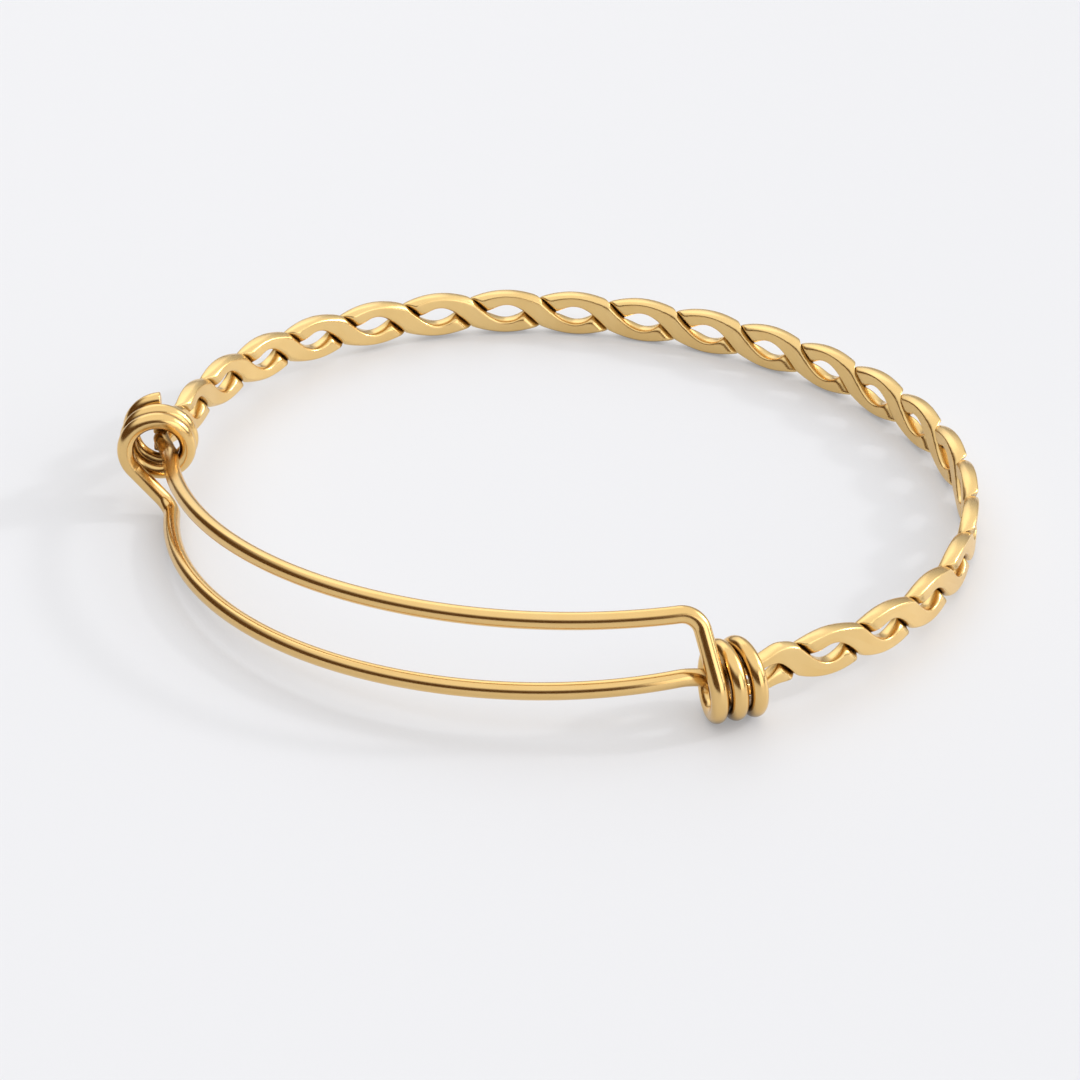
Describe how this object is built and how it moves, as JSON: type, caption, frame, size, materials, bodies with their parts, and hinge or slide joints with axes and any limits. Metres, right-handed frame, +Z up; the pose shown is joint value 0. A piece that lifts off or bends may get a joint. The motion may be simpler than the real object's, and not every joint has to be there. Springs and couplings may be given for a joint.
{
  "type": "bangle",
  "caption": "Adjustable bangle: a flattened braided wire band whose plain wire ends cross the open front and wind coils round each other.",
  "frame": {"origin": "on the surface that the bangle rests on, under the middle of its outline", "axes": "+Z up, along the axis of the wrist opening; +Y towards the middle of the braided back; -Y towards the open front with the plain wires; +X towards the right-hand coil"},
  "size_m": [0.0638, 0.0623, 0.0091],
  "materials": {
    "braid_gold": "polished gold colour, with a fine satin where the strands are rolled flat",
    "wire_gold": "polished gold colour"
  },
  "bodies": {
    "root": {"braid_strand_a": "braid_gold", "braid_strand_b": "braid_gold", "upper_wire": "wire_gold", "lower_wire": "wire_gold"}
  },
  "joints": []
}
